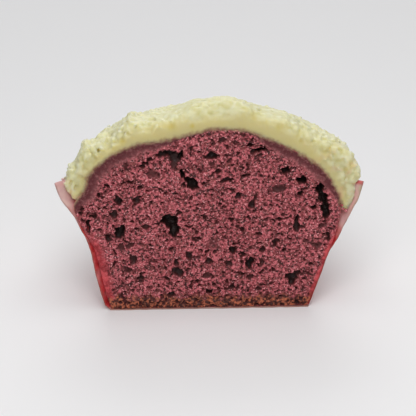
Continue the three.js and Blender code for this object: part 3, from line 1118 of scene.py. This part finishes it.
@dataclass
class BakingCase:
    """The paper case as a thin closed sheet. Sizes in mm."""

    case: CaseShape
    finish: PaperFinish = PaperFinish()
    thickness: float = 0.1
    columns_per_pleat: int = 12
    wall_rows: int = 56
    base_rows: int = 14
    front_lip: float = 0.5
    corner_lift: tuple[float, float] = (1.3, 0.6)
    stain_heights: tuple[float, float] = (19.5, 23.0)
    edge_browning: float = 0.65
    seed: int = 31

    def sheet(self, turns: np.ndarray) -> np.ndarray:
        """The middle of the sheet, as a grid of points by turn and row."""
        noise = Noise(self.seed)
        heights = np.linspace(0, self.case.height - self.thickness, self.wall_rows)
        turn, z = np.meshgrid(turns, heights, indexing="ij")
        radius = self.case.radius(turn, z)
        base = np.linspace(0, self.case.base_radius, self.base_rows, endpoint=False)
        radius = np.hstack([np.tile(base, (len(turns), 1)), radius])
        z = np.hstack([np.zeros((len(turns), self.base_rows)), z])
        turn = np.tile(turns[:, None], (1, radius.shape[1]))
        grid = np.stack([radius * np.cos(turn), radius * np.sin(turn), z], axis=-1)
        flat = grid.reshape(-1, 3)
        high = smoothstep(flat[:, 2], 1.0, 14.0)
        crinkle = (0.22 * noise.layered(flat, 5.0, 3) * high).reshape(turn.shape)
        grid[..., 0] += crinkle * np.cos(turn)
        grid[..., 1] += crinkle * np.sin(turn)
        rim = smoothstep(flat[:, 2], self.case.height - 3, self.case.height)
        lift = np.interp(flat[:, 0], [-30, 30], self.corner_lift) * fade(flat[:, 1], 1.0, 9.0)
        rise = (0.2 * noise.smooth(flat * [1, 1, 0], 3.0) + lift) * rim
        grid[..., 2] += rise.reshape(turn.shape)
        ragged = 0.25 * noise.layered(flat * [1, 0, 1], 2.4, 2)
        lip = np.where(flat[:, 2] < 0.01, self.front_lip, 0.0)
        grid[..., 1] -= (fade(flat[:, 1], 0.0, 1.4) * (ragged + lip)).reshape(turn.shape)
        grid[..., 2] += self.thickness / 2
        return grid

    def build(self) -> bpy.types.Object:
        """Builds and dresses the case."""
        columns = self.case.pleats * self.columns_per_pleat
        turns = np.linspace(0, np.pi, columns + 1)
        middle = self.sheet(turns)
        normal = np.cross(np.gradient(middle, axis=0), np.gradient(middle, axis=1))
        length = np.linalg.norm(normal, axis=-1, keepdims=True)
        normal = np.where(length > 1e-9, normal / np.maximum(length, 1e-9), [0, 0, 1])
        normal[:, 0] = [0, 0, -1]
        outer = middle + normal * self.thickness / 2
        inner = middle - normal * self.thickness / 2
        rows = middle.shape[1]
        count = (columns + 1) * rows
        points = np.vstack([outer.reshape(-1, 3), inner.reshape(-1, 3)])
        faces: list[Sequence[int]] = []
        for c in range(columns):
            for r in range(rows - 1):
                a, b = c * rows + r, (c + 1) * rows + r
                faces.append((a, b, b + 1, a + 1))
                faces.append((count + a, count + a + 1, count + b + 1, count + b))
            a, b = c * rows + rows - 1, (c + 1) * rows + rows - 1
            faces.append((a, b, count + b, count + a))
        for r in range(rows - 1):
            a, b = r, columns * rows + r
            faces.append((a, a + 1, count + a + 1, count + a))
            faces.append((b + 1, b, count + b, count + b + 1))
        points, faces = self.closed_at_axis(points, faces, rows, columns)
        values = {
            "stain": self.stain(points),
            "butter": self.butter(points),
            "cut_edge": self.edge_browning * fade(points[:, 1], -0.1, 0.35),
        }
        mesh = Mesh("baking_case", points, faces, values)
        return mesh.make(Node.CASE, self.finish.material())

    @staticmethod
    def closed_at_axis(points: np.ndarray, faces: list[Sequence[int]], rows: int,
                       columns: int) -> tuple[np.ndarray, list[Sequence[int]]]:
        """Makes the points that every column has on the axis into one for each side of the sheet."""
        count = (columns + 1) * rows
        index = np.arange(len(points))
        for first in (0, count):
            index[first:first + count:rows] = first
        used, renumbered = np.unique(index, return_inverse=True)
        kept = []
        for face in faces:
            corners = list(dict.fromkeys(int(renumbered[i]) for i in face))
            if len(corners) > 2:
                kept.append(tuple(corners))
        return points[used], kept

    def stain(self, points: np.ndarray) -> np.ndarray:
        """How red the cake has made the paper at each point."""
        noise, turn = Noise(self.seed + 1), turn_of(points)
        share, z = left_share(turn), points[:, 2]
        mottle = noise.layered(points, 5.0, 3)
        edge = blend(*self.stain_heights, share) + 1.6 * mottle
        low = fade((z - edge) / (1 + share), -1.0, 3.5)
        crest = smoothstep(self.case.wave(turn), 0.5, 0.95) * smoothstep(points[:, 1], 3, 8)
        patch = smoothstep(noise.layered(points + 21, 2.6, 3), 0.0, 0.7)
        low *= (1 - 0.3 * crest * smoothstep(z, 3, 16)) * (1 - 0.3 * patch)
        faint = smoothstep(mottle, -0.5, 0.3) * fade(z, 27, 32)
        low = np.maximum(low, (0.25 + 0.2 * share) * faint)
        rim = 0.75 * smoothstep(z, self.case.height - 0.6, self.case.height - 0.2)
        rim *= 1 - 0.8 * smoothstep(share, 0.6, 1.0)
        base = np.where(z < 0.5, 0.15, 1.0)
        return np.clip(low * base + rim, 0, 1)

    def butter(self, points: np.ndarray) -> np.ndarray:
        """How much frosting is smeared on the paper at each point, close to the cut at the right."""
        blots = smoothstep(Noise(self.seed + 2).layered(points, 2.6, 3), 0.0, 0.5)
        x, y, z = points.T
        area = smoothstep(x, 20, 26) * fade(y, 2, 5) * smoothstep(z, 24, 28)
        return 0.8 * blots * area * fade(z, 32, 33)


@dataclass
class LooseCrumbs:
    """Crumbs of red sponge that the knife left on the frosting, as one piece of small lumps."""

    material: bpy.types.Material
    morsels: tuple = (
        Ball(33.5, 0.2, 26.6, 0.5), Ball(34.3, 0.1, 26.1, 0.4), Ball(33.2, 0.0, 27.5, 0.35),
    )
    rounds: int = 3
    roughness: float = 0.35
    seed: int = 41

    def build(self) -> bpy.types.Object:
        """Builds and dresses the crumbs."""
        noise = Noise(self.seed)
        ball = bmesh.new()
        bmesh.ops.create_icosphere(ball, subdivisions=self.rounds, radius=1.0)
        unit = np.array([v.co[:] for v in ball.verts])
        corners = [[v.index for v in f.verts] for f in ball.faces]
        ball.free()
        points, faces = [], []
        for n, m in enumerate(self.morsels):
            lumpy = 1 + self.roughness * noise.layered(unit * 1.3 + 9 * n, 1.0, 2)
            faces.extend([n * len(unit) + i for i in corner] for corner in corners)
            points.append(unit * lumpy[:, None] * m.radius + [m.x, m.y, m.z])
        points = np.vstack(points)
        mesh = Mesh("loose_crumbs", points, faces, {"seam": np.full(len(points), INSIDE_CAKE)})
        return mesh.make(None, self.material)


@dataclass(frozen=True)
class Lamp:
    """A square light: where it hangs and what it faces, its side in metres and its watts."""

    name: str
    place: tuple[float, float, float]
    target: tuple[float, float, float]
    size: float
    power: float

    def hang(self) -> None:
        """Adds the light to the scene."""
        data = bpy.data.lights.new(self.name, "AREA")
        data.size = self.size
        data.energy = self.power
        lamp = put_in_scene(self.name, data)
        lamp.location = self.place
        lamp.rotation_euler = facing(Vector(self.target) - Vector(self.place))


@dataclass
class Studio:
    """A pale floor, soft lights and the camera."""

    floor_size: float = 6.0
    floor_gap: float = 0.00005
    distance: float = 0.55
    azimuth: float = -2.5
    elevation: float = 22.0
    view_width: float = 104.0
    aim: tuple[float, float, float] = (-0.35, 0.0, 27.4)
    sky_strength: float = 0.03
    lamps: tuple[Lamp, ...] = (
        Lamp("front", (-0.07, -0.76, 0.79), (0.0, 0.0, 0.0), 0.6, 5.9),
        Lamp("ceiling", (0.0, 0.38, 1.03), (0.0, 0.0, 0.0), 1.4, 4.2),
        Lamp("back", (0.0, 0.9, 0.63), (0.0, 0.0, 0.0), 0.6, 2.8),
        Lamp("overhead", (0.06, -0.12, 0.5), (0.06, -0.12, 0.0), 0.4, 0.9),
    )

    def build(self) -> None:
        """Builds the studio."""
        self.floor()
        self.lights()
        self.camera()
        bpy.context.scene.view_settings.view_transform = "Standard"

    def floor(self) -> None:
        """A wide matt floor, just under the paper."""
        half, z = self.floor_size / 2, -self.floor_gap
        data = bpy.data.meshes.new("floor")
        corners = [(-half, -half, z), (half, -half, z), (half, half, z), (-half, half, z)]
        data.from_pydata(corners, [], [(0, 1, 2, 3)])
        s = Shader("floor")
        colour = s.mix(s.noise(400, 2), linear(235, 235, 236), linear(239, 238, 239))
        data.materials.append(s.finish(s.surface(Base_Color=colour, Roughness=0.9)))
        put_in_scene("floor", data)

    def lights(self) -> None:
        """A faint even sky and the lamps."""
        world = bpy.data.worlds.new("studio")
        world.use_nodes = True
        background = world.node_tree.nodes["Background"]
        background.inputs["Color"].default_value = (1.0, 1.0, 1.0, 1.0)
        background.inputs["Strength"].default_value = self.sky_strength
        bpy.context.scene.world = world
        for lamp in self.lamps:
            lamp.hang()

    def camera(self) -> None:
        """The camera, which looks down on the cut face."""
        data = bpy.data.cameras.new("camera")
        data.lens = data.sensor_width * self.distance / (self.view_width * MM)
        camera = put_in_scene("camera", data)
        a, e = math.radians(self.azimuth), math.radians(self.elevation)
        back = Vector((math.sin(a) * math.cos(e), -math.cos(a) * math.cos(e), math.sin(e)))
        aim = (Vector(self.aim) + Vector((0, CUT_Y, 0))) * MM
        camera.location = aim + back * self.distance
        camera.rotation_euler = facing(-back)
        bpy.context.scene.camera = camera


def main() -> None:
    """Builds each piece in order, then the studio."""
    logging.basicConfig(level=logging.INFO, format="%(name)s %(message)s", stream=sys.stdout)
    case = CaseShape()
    sponge = SpongeCake(case)
    crumb = sponge.build().data.materials[0]
    FrostingCap(case, sponge).build()
    BakingCase(case).build()
    LooseCrumbs(crumb).build()
    Studio().build()


if __name__ == "__main__":
    main()
